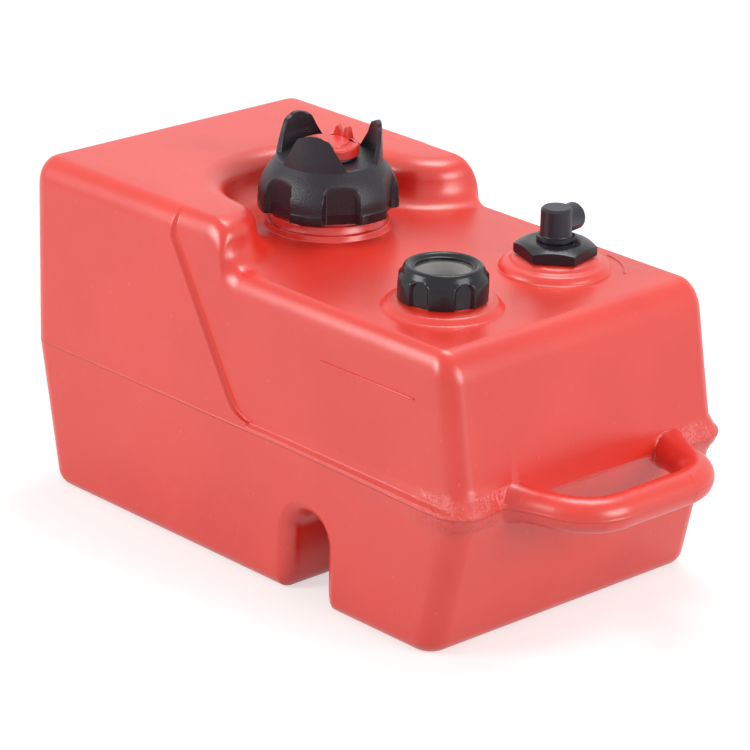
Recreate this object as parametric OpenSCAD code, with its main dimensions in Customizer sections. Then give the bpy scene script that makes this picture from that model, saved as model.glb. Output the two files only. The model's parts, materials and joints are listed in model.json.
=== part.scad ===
// Portable fuel tank for an outboard motor: a blow-moulded housing with a deep bay round its winged fill cap,
// a float gauge whose twisted ribbon turns the pointer, and a swivelling withdrawal elbow with dip tube.
// Millimetres. +Z up, +X towards the handle, origin under the middle of the whole object.

/* [Tank body] */
// Length of the body at the parting line
body_l = 394; // [360:1:480]
// Width of the body
body_w = 222; // [216:1:270]
// Height of the rear block
body_h = 216; // [185:1:262]
// How far the deck lies below the rear block
deck_drop = 28; // [22:1:32]
// Height of the parting line
belt_z = 94; // [80:1:110]
// Wall thickness of the moulding
wall = 3; // [2.5:0.1:3.6]
// How far the front face leans back between parting line and deck
front_lean = 17; // [8:1:24]
// How far the front face tucks in between parting line and floor
front_tuck = 21; // [8:1:26]
// How far the rear face tucks in between parting line and floor
rear_tuck = 20; // [8:1:26]
// Plan radius of the upright corners
corner_r = 15; // [12:0.5:18]
// Radius that the flat top keeps inside those corners
crown_r = 2; // [1:0.5:4]
// Height of the rounded edges round the top
top_r = 18; // [12:0.5:20]
// Radius of the rounded edges round the foot
foot_r = 9; // [6:0.5:11]
// How far the pinched seam swells out round the two front corners
pinch = 4; // [0:0.5:6]
// Half the height of that swelling
pinch_h = 13; // [8:1:18]

/* [Step and bay] */
// Where the wall of the step stands, from the rear face
step_x = 181; // [175:1:190]
// Length of the rounded brow over that wall
step_brow = 15; // [12:1:24]
// Length of the hollow at the foot of that wall
step_foot = 14; // [8:1:15]
// Share of the drop that the brow takes
brow_share = 0.42; // [0.3:0.02:0.6]
// Middle of the bay round the fill cap, from the rear face
bay_x = 153; // [150:1:157]
// Radius of the bay's wall
bay_r = 61; // [58:1:63]
// Plan radius of the two horns where step and bay meet
horn_r = 34; // [26:1:36]

/* [Side panels] */
// Depth of the panel sunk in each side
panel_depth = 3; // [2:0.5:4]
// Where the panel's slanting edge starts at the top, from the rear face
panel_top_x = 137; // [125:1:145]
// Where that edge would meet the ledge, from the rear face
panel_foot_x = 197; // [185:1:215]
// Height of the ledge over the parting line
ledge_rise = 4.5; // [3.5:0.5:8]
// Width of the rounded edge between panel and wall
panel_lip = 3.2; // [2:0.2:4]
// Radius of the corner between slanting edge and ledge
panel_r = 20; // [12:1:28]

/* [Strap channel] */
// Middle of the channel under the tank, from the rear face
strap_x = 264; // [250:1:280]
// Width of the channel
strap_w = 30; // [26:1:36]
// Height of the channel
strap_h = 55; // [40:1:64]
// Radius of the edges at its mouths and feet
strap_flare = 11; // [6:1:12]

/* [Handle] */
// How far the handle reaches past the body
handle_reach = 57; // [48:1:70]
// Diameter of the handle tube
handle_d = 21; // [18:1:25]
// Wall of the handle tube
handle_wall = 4; // [3:0.5:5]
// Distance between the middles of the two legs, at the body
handle_span = 126; // [112:1:134]
// Angle by which the legs lean towards each other
handle_splay = 18; // [0:1:24]
// Radius of the bends, at the middle of the tube
handle_bend = 30; // [20:1:34]
// How much wider each leg grows where it leaves the body
handle_flare = 6.5; // [4:0.5:9]

/* [Fill neck and cap] */
// Fill neck centre, from the rear face
fill_x = 157.5; // [151:0.5:162]
// Outer radius of the fill neck
fill_neck_r = 33; // [30:0.5:34]
// Wall of the fill neck
fill_neck_wall = 4; // [3:0.5:5]
// Height of the fill neck over the deck
fill_neck_h = 27; // [24:1:30]
// Radius of the boss round the fill neck
fill_boss_r = 39; // [38:0.5:42]
// Radius of the cap over its lobes
cap_r = 44; // [43:0.5:47]
// Distance of the flutes between the lobes from the axis
cap_flute = 38.2; // [37.8:0.2:42]
// Number of lobes
cap_lobes = 6; // [6:1:9]
// Width of a flute
cap_flute_w = 21; // [14:1:24]
// Gap between deck and cap skirt
cap_gap = 12; // [10:1:13]
// Height of the cap's flat top over the deck
cap_top = 44; // [43:0.5:50]
// Height of the three wings over that top
wing_h = 22.5; // [12:0.5:26]
// Width of a wing at its foot
wing_w = 42; // [30:1:46]
// Distance of the wings' outer faces from the axis, at their feet
wing_r = 33.4; // [30:0.2:34]
// Thickness of a wing at its foot
wing_t = 4.2; // [3:0.1:5]
// Direction of the first lobe and wing
cap_turn = 59; // [0:1:119]
// Radius of the vent knob
knob_r = 18.8; // [16:0.2:20]
// Height of the vent knob's rim
knob_h = 6.8; // [4:0.2:8]
// Travel of the vent poppet
vent_travel = 2; // [1:0.5:3]

/* [Gauge] */
// Gauge centre, from the rear face
gauge_x = 312; // [300:1:322]
// Gauge centre, from the middle line towards the near side
gauge_y = 49; // [44:1:56]
// Outer radius of the gauge neck
gauge_neck_r = 22.5; // [21.5:0.5:23.5]
// Bore radius of the gauge neck
gauge_bore_r = 18.6; // [17.5:0.1:19.5]
// Height of the gauge neck over the deck
gauge_neck_h = 18; // [16:1:22]
// Radius of the gauge collar over its lobes
collar_r = 27.6; // [27:0.2:30]
// Distance of the collar's flutes from the axis
collar_flute = 25.2; // [25:0.1:27]
// Radius of the gauge window
window_r = 17.2; // [14:0.2:18]
// Length of the float
float_h = 24; // [18:1:36]
// Radius of the float
float_r = 14.5; // [12:0.5:16]
// Travel of the float
float_travel = 120; // [60:5:125]
// Degrees that the pointer turns over that travel
pointer_sweep = 270; // [90:10:300]

/* [Withdrawal fitting] */
// Withdrawal fitting centre, from the rear face
outlet_x = 306; // [296:1:322]
// Withdrawal fitting centre, from the middle line towards the far side
outlet_y = 50; // [44:1:56]
// Outer radius of its neck
outlet_neck_r = 19.5; // [18.5:0.5:20]
// Height of its neck over the deck
outlet_neck_h = 12; // [11:1:14]
// Size of the hexagon nut across its flats
nut_af = 44; // [43:0.5:48]
// Direction of one of the nut's corners
nut_turn = 42; // [0:1:59]
// Radius of the elbow's upright body
elbow_r = 9.6; // [9:0.1:11]
// Radius of its side outlet
outlet_r = 8.4; // [8:0.1:9.4]
// Length of the side outlet from the axis
outlet_l = 18; // [15:0.5:24]
// Direction of the side outlet
outlet_turn = 98; // [0:1:359]
// Radius of the threaded hole in the outlet
port_r = 5.7; // [5:0.1:6]
// Depth of that hole
port_l = 11; // [8:0.5:12]
// Outer radius of the dip tube
dip_r = 6.2; // [5.8:0.1:7]

/* [Fits] */
// Radial clearance of turning fits
run = 0.08; // [0.03:0.01:0.1]
// Clearance between pieces that only lie in one another
slack = 0.3; // [0.2:0.05:0.5]

/* [Hidden] */
$fn = 96;

red = "#e8463c";
black = "#26262a";
rubber = "#3a3a3c";

rear_x = -(body_l + handle_reach) / 2;
deck_h = body_h - deck_drop;
ledge_z = belt_z + ledge_rise;
side_y = body_w / 2;
core_y = side_y - corner_r;
core_x = body_l - corner_r;
rim_z = body_h - top_r;

// The three fittings, each at its neck's axis on the deck
fill_at = [rear_x + fill_x, 0, deck_h];
gauge_at = [rear_x + gauge_x, -gauge_y, deck_h];
outlet_at = [rear_x + outlet_x, outlet_y, deck_h];

function lerp(a, b, t) = a + (b - a) * t;
function rev(list) = [for (i = [len(list) - 1 : -1 : 0]) list[i]];
// Triangles from one hub to each pair of a chain of points
function fan(hub, chain) = [for (i = [0 : len(chain) - 2]) [hub, chain[i], chain[i + 1]]];

// ---------------------------------------------------------------------------------------------------------
// The moulding. Its surface is a ring of stations round the plan, carried through rows of heights, and a strip
// that follows the step and the bay across the top.

// Middle line of the step: straight over each horn, round the horn, and round the bay. Points with the
// direction towards the high side.
function step_line(n) =
    let (
        hx = step_x - horn_r,
        hy = sqrt(pow(bay_r + horn_r, 2) - pow(hx - bay_x, 2)),
        turn = atan2(hy, bay_x - hx),
        open = 180 - turn,
        end_y = core_y + crown_r
    )
    concat(
        [[[step_x, -end_y], [-1, 0]]],
        [for (i = [0 : n]) let (a = turn * i / n)
            [[hx + horn_r * cos(a), -hy + horn_r * sin(a)], [-cos(a), -sin(a)]]],
        [for (i = [1 : 3 * n - 1]) let (a = -open - (360 - 2 * open) * i / (3 * n))
            [[bay_x + bay_r * cos(a), bay_r * sin(a)], [cos(a), sin(a)]]],
        [for (i = [n : -1 : 0]) let (a = turn * i / n)
            [[hx + horn_r * cos(a), hy - horn_r * sin(a)], [-cos(a), sin(a)]]],
        [[[step_x, end_y], [-1, 0]]]
    );
// Row k of n down the step, as [offset towards the high side, height]: a quarter ellipse over the brow, then
// another one through the hollow. depth sinks the row square to that surface.
function step_row(k, n, depth) =
    let (
        a = 180 * k / n,
        high = a <= 90,
        run = high ? step_brow : step_foot,
        fall = deck_drop * (high ? brow_share : 1 - brow_share),
        slope = atan2(fall * sin(a), run * abs(cos(a)))
    )
    [(high ? 1 : -1) * run * (1 - sin(a)) + depth * sin(slope),
        deck_h + deck_drop * (1 - brow_share) + fall * cos(a) - depth * cos(slope)];

// The panel's edge: a slanting line from the rim, rounded into the level ledge
panel_slope = (panel_foot_x - panel_top_x) / (rim_z - ledge_z);
panel_a = atan(1 / panel_slope);
panel_turn_z = ledge_z + panel_r * (1 - cos(panel_a));
panel_end_x = panel_foot_x + panel_r * tan(panel_a / 2);
// The rounded edge of the panel, as [share of its width, share of the panel's depth]
lip = [[0, 0], [0.25, 0.12], [0.5, 0.5], [0.75, 0.88], [1, 1]];
function edge_x(z) = z >= panel_turn_z
    ? panel_top_x + panel_slope * (rim_z - z)
    : panel_end_x - sqrt(max(0, pow(panel_r, 2) - pow(panel_r - (z - ledge_z), 2)));

// A station is [core point, outward direction, top height, share of the panel's depth, rear, front]
function stations(corner_n, step_n, inset) =
    let (
        outer_y = lerp(handle_span / 2, core_y, 0.6),
        side = concat(
            [for (p = lip) [panel_top_x + panel_lip * p[0], body_h, p[1]]],
            [for (k = [0 : step_n]) let (q = step_row(k, step_n, inset)) [step_x - q[0], q[1] + inset, 1]]
        )
    )
    concat(
        [for (i = [0 : corner_n]) let (a = 180 + 90 * i / corner_n)
            [[corner_r, -core_y], [cos(a), sin(a)], body_h, 0, 1, 0]],
        [for (s = side) [[s[0], -core_y], [0, -1], s[1], s[2], 0, 0]],
        [for (i = [0 : corner_n]) let (a = 270 + 90 * i / corner_n)
            [[core_x, -core_y], [cos(a), sin(a)], deck_h, 1 - i / corner_n, 0, 1]],
        [for (y = [-outer_y, -handle_span / 2, handle_span / 2, outer_y]) [[core_x, y], [1, 0], deck_h, 0, 0, 1]],
        [for (i = [0 : corner_n]) let (a = 90 * i / corner_n)
            [[core_x, core_y], [cos(a), sin(a)], deck_h, i / corner_n, 0, 1]],
        [for (s = rev(side)) [[s[0], core_y], [0, 1], s[1], s[2], 0, 0]],
        [for (i = [0 : corner_n]) let (a = 90 + 90 * i / corner_n)
            [[corner_r, core_y], [cos(a), sin(a)], body_h, 0, 1, 0]]
    );
// Draft of the end faces at height z, away from the parting line
function lean(s, z) = z >= belt_z
    ? -s[5] * front_lean * (z - belt_z) / (deck_h - belt_z)
    : (s[4] * rear_tuck - s[5] * front_tuck) * (belt_z - z) / belt_z;
// Swelling of the seam, from nothing at the handle's legs to its full size at the corners
function swell(s, z) = s[5] == 0 || abs(s[0][1]) < handle_span / 2
    ? 0
    : pinch * (abs(s[0][1]) - handle_span / 2) / (core_y - handle_span / 2)
        * pow(max(0, 1 - pow((z - belt_z) / pinch_h, 2)), 2);
function place(s, off, z, x) =
    let (o = off + swell(s, z))
    [x + s[1][0] * o + lean(s, z), s[0][1] + s[1][1] * o, z];
// The side columns follow the panel's slanting edge as they go down
function column_x(s, v) =
    s[4] + s[5] > 0 || v >= 1 ? s[0][0] :
    let (
        e = edge_x(lerp(ledge_z, rim_z, v)),
        f = (s[0][0] - panel_top_x) / (core_x - panel_top_x)
    )
    e + f * (core_x - e);
function rows(ring, inset, top_n, foot_n) =
    let (
        full = corner_r - inset,
        turn = [for (i = [0 : 4]) panel_r * (1 - cos(panel_a * (1 - i / 4))) / (rim_z - ledge_z)]
    )
    concat(
        [for (i = [0 : top_n]) let (a = 90 * (1 - i / top_n)) [for (s = ring)
            place(s, crown_r + (full - crown_r - panel_depth * s[3]) * cos(a),
                s[2] - top_r + (top_r - inset) * sin(a), s[0][0])]],
        [for (v = concat([0.5], turn)) [for (s = ring)
            place(s, full - panel_depth * s[3], lerp(ledge_z, s[2] - top_r, v), column_x(s, v))]],
        [for (p = rev(lip)) if (p[1] < 1) [for (s = ring)
            place(s, full - panel_depth * s[3] * p[1], ledge_z - panel_lip * (1 - p[0]), column_x(s, 0))]],
        [for (t = [0, 0.35, 0.7, 1]) [for (s = ring)
            place(s, full, belt_z - pinch_h * t, column_x(s, 0))]],
        [for (i = [0 : foot_n]) let (a = 90 * i / foot_n) [for (s = ring)
            place(s, corner_r - foot_r + (foot_r - inset) * cos(a),
                foot_r - (foot_r - inset) * sin(a), column_x(s, 0))]]
    );
module moulding(inset, corner_n, step_n, top_n, foot_n, bay_n) {
    ring = stations(corner_n, step_n, inset);
    grid = rows(ring, inset, top_n, foot_n);
    rn = len(ring);
    gn = len(grid);
    line = step_line(bay_n);
    m = len(line);
    strip = [for (k = [0 : step_n]) [for (j = [1 : m - 2])
        let (q = step_row(k, step_n, inset), p = line[j][0] + line[j][1] * q[0])
        [p[0], p[1], q[1]]]];
    near = corner_n + 1 + len(lip);
    far = rn - 1 - near;
    first = gn * rn;
    hub = first + (step_n + 1) * (m - 2);
    mid = floor(m / 2);
    // Point j of step row k: the strip's ends are stations of the ring
    function at(k, j) = j == 0 ? near + k : j == m - 1 ? far - k : first + k * (m - 2) + j - 1;
    polyhedron(concat(
        [for (row = grid) each row],
        [for (row = strip) each row],
        [for (side = [-1, 1]) [(bay_x - bay_r) * 0.6, side * (core_y - 10), body_h - inset]],
        [[step_x + step_foot + horn_r, 0, deck_h - inset]]
    ), concat(
        [for (i = [0 : gn - 2]) for (j = [0 : rn - 1]) let (a = i * rn + j, b = i * rn + (j + 1) % rn)
            each [[a, b, a + rn], [b, b + rn, a + rn]]],
        [for (k = [0 : step_n - 1]) for (j = [0 : m - 2])
            each [[at(k, j), at(k, j + 1), at(k + 1, j)], [at(k, j + 1), at(k + 1, j + 1), at(k + 1, j)]]],
        fan(hub, concat([for (i = [near : -1 : 0]) i], [hub + 1], [for (j = [mid : -1 : 0]) at(0, j)])),
        fan(hub + 1, [for (j = [m - 1 : -1 : mid]) at(0, j)]),
        fan(hub + 1, concat([0], [for (i = [rn - 1 : -1 : far]) i])),
        fan(hub + 2, concat([for (j = [0 : m - 1]) at(step_n, j)],
            [for (i = [far - step_n - 1 : -1 : near + step_n]) i])),
        [[for (i = [0 : rn - 1]) (gn - 1) * rn + i]]
    ), convexity = 8);
}

// Channel for the hold-down strap, with rounded mouths and feet. grow leaves room for the wall round it.
function channel_outline(flare, grow, n) =
    let (
        r = strap_w / 2 + flare + grow,
        f = strap_flare - grow,
        half = concat([[r + f * (1 - cos(75)), -1]],
            [for (a = [75, 50, 25, 0]) [r + f * (1 - cos(a)), f * (1 - sin(a))]],
            [for (i = [0 : n]) [r * cos(90 * i / n), strap_h - strap_w / 2 + r * sin(90 * i / n)]])
    )
    concat(half, [for (i = [len(half) - 2 : -1 : 0]) [-half[i][0], half[i][1]]]);
module strap_channel(grow, n) {
    f = strap_flare - grow;
    past = 1 + grow;
    rounding = [for (a = [0, 20, 40, 60, 80]) [side_y - grow - f * (1 - sin(a)), f * (1 - cos(a))]];
    tip = [side_y + 1, rounding[4][1] + (past + f * (1 - sin(80))) * tan(80)];
    stops = concat([[-tip[0], tip[1]]], [for (s = rev(rounding)) [-s[0], s[1]]], rounding, [tip]);
    m = len(channel_outline(0, grow, n));
    last = len(stops) - 1;
    hub = m * (last + 1);
    translate([strap_x, 0, 0])
        polyhedron(concat(
            [for (s = stops) for (p = channel_outline(s[1], grow, n)) [p[0], s[0], p[1]]],
            [for (y = [-tip[0], tip[0]]) [0, y, strap_h / 2]]
        ), concat(
            [for (i = [0 : last - 1]) for (j = [0 : m - 1]) let (a = i * m + j, b = i * m + (j + 1) % m)
                each [[a, b, a + m], [b, b + m, a + m]]],
            fan(hub, concat([0], [for (j = [m - 1 : -1 : 0]) j])),
            fan(hub + 1, concat([for (j = [0 : m - 1]) last * m + j], [last * m]))
        ), convexity = 4);
}

// The handle's bar, bends and leaning legs as one round rod, from inside the front face
bend_x = handle_reach - handle_d / 2 - handle_bend;
leg_reach = bend_x + handle_bend * sin(handle_splay);
bend_y = handle_span / 2 - leg_reach * tan(handle_splay) - handle_bend * cos(handle_splay);
// A rod through both legs, bends and bar, from inside the front face. flare widens it to a trumpet where each
// leg leaves the body. The bends are a tenth thicker, so that legs and bar end inside them.
module handle_rod(r, inside, flare) {
    lap = 2;
    leg_end = leg_reach / cos(handle_splay) + lap;
    for (side = [-1, 1]) {
        translate([body_l, side * handle_span / 2, belt_z])
            rotate([0, 90, -side * handle_splay])
                if (flare > 0)
                    rotate_extrude()
                        polygon(concat([[0, -inside], [r + flare, -inside]],
                            [for (i = [0 : 9]) let (a = 10 * i) [r + flare * (1 - sin(a)), -9 + 25 * (1 - cos(a))]],
                            [[r, leg_end], [0, leg_end]]));
                else
                    translate([0, 0, -inside]) cylinder(h = inside + leg_end, r = r);
        translate([body_l + bend_x, side * bend_y, belt_z])
            rotate([0, 0, side > 0 ? 0 : handle_splay - 90])
                rotate_extrude(angle = 90 - handle_splay)
                    translate([handle_bend, 0])
                        circle(r = r + 0.1, $fn = 48);
    }
    translate([body_l + bend_x + handle_bend, -bend_y - lap, belt_z])
        rotate([-90, 0, 0])
            cylinder(h = 2 * (bend_y + lap), r = r);
}
// A neck on its stepped boss. outline gives the boss as [radius, height] from the deck up.
module neck(at, outline, r, h) {
    top = outline[len(outline) - 1][1];
    translate(at)
        rotate_extrude()
            polygon(concat([[0, -wall / 2], [outline[0][0], -wall / 2]], outline, [[r, top], [r, h], [0, h]]));
}
fill_boss = [[fill_boss_r + 1, 0], [fill_boss_r, 1], [fill_boss_r, 3.6], [fill_boss_r - 0.9, 4.5],
    [fill_neck_r + 3, 4.5], [fill_neck_r + 3, 8.6], [fill_neck_r + 2, 9.4]];
gauge_boss = [for (p = [[14.5, 0], [13.5, 1.4], [11.5, 3.6], [10, 4.4], [7.5, 4.8], [6, 5.8]])
    [gauge_neck_r + p[0], p[1]]];
outlet_boss = [for (p = [[15, 0], [14.6, 1.6], [12.8, 4.2], [11, 5], [8.6, 5.4], [7.4, 6.4], [6, 8.6]])
    [outlet_neck_r + p[0], p[1]]];
outlet_bore_r = outlet_neck_r - 4.5;
fill_bore_r = fill_neck_r - fill_neck_wall;

module tank_shell() {
    color(red)
    difference() {
        union() {
            translate([rear_x, 0, 0]) {
                difference() {
                    moulding(0, 8, 10, 7, 6, 8);
                    strap_channel(0, 6);
                }
                handle_rod(handle_d / 2, 24, handle_flare);
            }
            neck(fill_at, fill_boss, fill_neck_r, fill_neck_h);
            neck(gauge_at, gauge_boss, gauge_neck_r, gauge_neck_h);
            neck(outlet_at, outlet_boss, outlet_neck_r, outlet_neck_h);
        }
        translate([rear_x, 0, 0]) {
            difference() {
                moulding(wall, 3, 6, 3, 2, 4);
                strap_channel(wall, 4);
            }
            handle_rod(handle_d / 2 - handle_wall, 30, 0);
        }
        for (b = [[fill_at, fill_bore_r], [gauge_at, gauge_bore_r], [outlet_at, outlet_bore_r]])
            translate(b[0] - [0, 0, 2 * wall])
                cylinder(h = 60, r = b[1]);
    }
}

// ---------------------------------------------------------------------------------------------------------
// Shared shapes

// A tube or ring between two heights
module ring(z0, z1, r_in, r_out) {
    translate([0, 0, z0])
        difference() {
            cylinder(h = z1 - z0, r = r_out);
            translate([0, 0, -1]) cylinder(h = z1 - z0 + 2, r = r_in);
        }
}
module turned(outline) {
    rotate_extrude() polygon(outline);
}
// Flutes with arched tops, cut into a cap from the side
module flutes(count, turn, dist, w, z0, z1) {
    for (i = [0 : count - 1])
        rotate([0, 0, turn + 360 * (i + 0.5) / count])
            translate([dist, 0, 0])
                rotate([90, 0, 90])
                    linear_extrude(20) {
                        translate([-w / 2, z0 - 1]) square([w, z1 - z0 + 1 - w * 0.3]);
                        translate([0, z1 - w * 0.3]) intersection() {
                            translate([-w / 2, -1]) square([w, w]);
                            translate([0, -w * 0.367]) circle(r = w * 0.667);
                        }
                    }
}
// A skin over equal loops of points, closed at both ends
module skin(loops) {
    n = len(loops[0]);
    last = len(loops) - 1;
    polyhedron([for (loop = loops) each loop], concat(
        [[for (j = [0 : n - 1]) j]],
        [for (i = [0 : last - 1]) for (j = [0 : n - 1]) let (a = i * n + j, b = i * n + (j + 1) % n)
            each [[a, a + n, b], [b, a + n, b + n]]],
        [[for (j = [n - 1 : -1 : 0]) last * n + j]]
    ), convexity = 6);
}
// A wire wound as a helix, from its cross-section's [radius, height] points and a list of [angle, height]
module wound(section, path) {
    skin([for (p = path) [for (q = section) [q[0] * cos(p[0]), q[0] * sin(p[0]), p[1] + q[1]]]]);
}
// A strip twisted about Z, from its cross-section's points and a list of [angle, height]
module twisted(section, path) {
    skin([for (p = path) [for (q = section)
        [q[0] * cos(p[0]) - q[1] * sin(p[0]), q[0] * sin(p[0]) + q[1] * cos(p[0]), p[1]]]]);
}

// ---------------------------------------------------------------------------------------------------------
// Fill cap and vent, measured from the deck up at the fill neck's axis

cap_cavity_r = cap_flute - 2.2;
liner_top = fill_neck_h + 5;
liner_in = fill_neck_r + slack;
gasket_t = 2;
cap_roof = liner_top + slack / 2;
knob_stem_r = 7;
knob_z = cap_top + 2;
poppet_r = 2.5;
spring_z = [liner_top, liner_top + 6];

// One wing: a curved blade on the rim of the cap's top, leaning in a little and rounded at its shoulders
module wing() {
    h = cap_top + wing_h;
    top_r = wing_r - 2.4;
    half = [for (p = [[1.08, -0.25], [0.83, 0.25], [0.69, 0.5], [0.575, 0.72], [0.48, 0.87], [0.36, 0.97],
        [0.24, 1.04]]) [p[0] * wing_w / 2, p[1] * wing_h]];
    intersection() {
        turned([[wing_r - wing_t - 0.3, cap_top - 3], [wing_r + 0.2, cap_top - 3],
            [top_r + 0.2, h - 2], [top_r - 0.4, h - 0.6], [top_r - 1.4, h], [top_r - 2, h - 0.5],
            [top_r - 2.4, h - 2]]);
        translate([1, 0, cap_top])
            rotate([90, 0, 90])
                linear_extrude(60)
                    polygon(concat(half, [for (p = rev(half)) [-p[0], p[1]]]));
    }
}
module fill_cap() {
    color(black)
    translate(fill_at)
    difference() {
        union() {
            difference() {
                turned([[0, cap_gap], [cap_r - 0.8, cap_gap], [cap_r, cap_gap + 0.8], [cap_r, cap_gap + 12],
                    [cap_r - 0.8, cap_gap + 14.5], [cap_r - 2.6, cap_gap + 19.5], [cap_r - 4.7, cap_gap + 23.5],
                    [cap_r - 8, cap_top - 3.4], [wing_r + 0.6, cap_top - 0.6], [wing_r - 0.8, cap_top], [0, cap_top]]);
                flutes(cap_lobes, cap_turn, cap_flute, cap_flute_w, cap_gap, cap_gap + 26);
            }
            for (i = [0 : 2]) rotate([0, 0, cap_turn + 120 * i]) wing();
            translate([0, 0, cap_top - 2]) cylinder(h = knob_z - slack - cap_top + 2, r = knob_r - 1.5);
        }
        translate([0, 0, cap_gap - 1])
            cylinder(h = cap_roof - cap_gap + 1, r = cap_cavity_r);
        cylinder(h = knob_z + 1, r = knob_stem_r + run);
    }
}
module cap_liner() {
    color("white")
    translate(fill_at)
    difference() {
        turned([[0, cap_gap + 1], [cap_cavity_r - slack, cap_gap + 1], [cap_cavity_r - slack, liner_top], [0, liner_top]]);
        cylinder(h = fill_neck_h + gasket_t, r = liner_in);
        cylinder(h = liner_top + 1, r = poppet_r + run);
    }
}
module cap_gasket() {
    color(rubber)
    translate(fill_at)
        ring(fill_neck_h, fill_neck_h + gasket_t, fill_bore_r - 1, liner_in - slack);
}
// A ribbed prong at the vent knob's rim, for turning it with a fingertip
module prong(turn) {
    rotate([0, 0, turn])
        translate([knob_r - 3.4, 0, knob_z + knob_h])
            rotate([90, 0, 90])
                linear_extrude(4.2, center = true)
                    polygon([[-3, -0.5], [3, -0.5], [2.2, 3.4], [1.2, 6.6], [0.2, 7.2], [-0.9, 6.4], [-2.2, 3]]);
}
module vent_knob() {
    z = knob_z + knob_h;
    color(red)
    translate(fill_at)
    difference() {
        union() {
            turned([[0, knob_z], [knob_r - 0.5, knob_z], [knob_r, knob_z + 0.5], [knob_r, z - 1],
                [knob_r - 1, z], [12.2, z], [11.8, z + 1.2], [0, z + 1.2]]);
            for (a = [cap_turn + 30, cap_turn + 57]) prong(a);
            translate([0, 0, liner_top + 1]) cylinder(h = knob_z - liner_top, r = knob_stem_r);
        }
        translate([0, 0, liner_top])
            cylinder(h = spring_z[1] + 2 + slack - liner_top, r = knob_stem_r - 1.6);
    }
}
module vent_poppet() {
    color("white")
    translate(fill_at)
        turned([[0, fill_neck_h - 1.5], [8, fill_neck_h - 1.5], [8, fill_neck_h], [poppet_r, fill_neck_h],
            [poppet_r, spring_z[1]], [4.6, spring_z[1]], [4.6, spring_z[1] + 2], [0, spring_z[1] + 2]]);
}
module vent_seal() {
    color(rubber)
    translate(fill_at)
        ring(fill_neck_h, fill_neck_h + gasket_t, poppet_r + slack, 7.4);
}
module vent_spring() {
    wire = 0.45;
    turns = 4;
    steps = 12 * turns;
    section = [for (a = [0 : 72 : 288]) [3.6 + wire * cos(a), wire * sin(a)]];
    rise = spring_z[1] - spring_z[0] - 2 * wire - 0.1;
    color("silver")
    translate(fill_at + [0, 0, spring_z[0] + wire + 0.05])
        wound(section, [for (i = [0 : steps]) [360 * turns * i / steps, rise * i / steps]]);
}

// ---------------------------------------------------------------------------------------------------------
// Gauge, measured from the deck up at its neck's axis

gauge_gasket_z = [gauge_neck_h, gauge_neck_h + 1.5];
flange_z = [gauge_gasket_z[1], gauge_gasket_z[1] + 2];
lens_z = [flange_z[1], flange_z[1] + 2];
collar_top = lens_z[1] + 3.1;
collar_z = 6.4;
cup_r = gauge_bore_r - slack;
cup_floor = 10;
dial_z = 13;
spindle_r = 1.25;
guide_r = 1.5;
guide_x = 9;
float_z = -deck_h + wall + 12;
foot_z = [-deck_h + wall + slack, -deck_h + wall + 8];
sweep_per_mm = pointer_sweep / float_travel;

module gauge_collar() {
    color(black)
    translate(gauge_at)
    difference() {
        turned([[0, collar_z], [collar_r, collar_z], [collar_r, collar_top - 8], [collar_r - 0.6, collar_top - 6.4],
            [collar_r - 2.4, collar_top - 4.6], [collar_r - 3.6, collar_top - 1.6], [collar_r - 4.6, collar_top - 0.4],
            [collar_r - 5.6, collar_top], [window_r + 2, collar_top], [window_r + 1, collar_top - 0.8], [0, collar_top - 0.8]]);
        flutes(6, 74, collar_flute, 12, collar_z, collar_top - 4);
        cylinder(h = lens_z[1], r = gauge_neck_r + slack);
        translate([0, 0, lens_z[1] - 1])
            cylinder(h = 6, r = window_r);
    }
}
module gauge_lens() {
    color("#8a8a92")
    translate(gauge_at + [0, 0, lens_z[0]])
        cylinder(h = lens_z[1] - lens_z[0], r = gauge_neck_r);
}
module gauge_head() {
    color("white")
    translate(gauge_at)
    difference() {
        turned([[0, cup_floor - 2], [cup_r, cup_floor - 2], [cup_r, flange_z[0]], [gauge_neck_r, flange_z[0]],
            [gauge_neck_r, flange_z[1]], [cup_r - 1.3, flange_z[1]], [cup_r - 1.3, dial_z], [cup_r - 2.6, dial_z],
            [cup_r - 2.6, cup_floor], [0, cup_floor]]);
        translate([0, 0, cup_floor - 3]) cylinder(h = 4, r = spindle_r + run);
    }
}
module gauge_gasket() {
    color(rubber)
    translate(gauge_at)
        ring(gauge_gasket_z[0], gauge_gasket_z[1], cup_r + slack, gauge_neck_r);
}
module gauge_dial() {
    color("white")
    translate(gauge_at)
        ring(dial_z, dial_z + 0.8, spindle_r + 0.5, cup_r - 1.3 - slack);
}
module gauge_pointer() {
    z = dial_z + 1.2;
    color("orange")
    translate(gauge_at)
    difference() {
        union() {
            translate([0, 0, z]) cylinder(h = 2.6, r = 2.6);
            rotate([0, 0, -75])
                translate([0, 0, z])
                    linear_extrude(1.2)
                        polygon([[0, -2], [10, -3], [14.2, -2], [14.2, 2], [10, 3], [0, 2]]);
        }
        translate([0, 0, z - 1]) cylinder(h = 2.6, r = spindle_r);
    }
}
module gauge_ribbon() {
    z0 = foot_z[1] - 3 + slack;
    z1 = foot_z[1] + 2;
    rise = cup_floor - 5 - z1;
    w = 3;
    t = 0.4;
    // A slice every 9 degrees
    n = ceil(rise * sweep_per_mm / 9);
    color("silver")
    translate(gauge_at) {
        translate([0, 0, z0]) cylinder(h = z1 + 1 - z0, r = spindle_r);
        translate([0, 0, z1 + rise - 1]) cylinder(h = dial_z + 3.8 - z1 - rise, r = spindle_r);
        translate([0, 0, z1])
            twisted([[-w, -t], [w, -t], [w, t], [-w, t]],
                [for (i = [0 : n]) [rise * sweep_per_mm * i / n, rise * i / n]]);
    }
}
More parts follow.
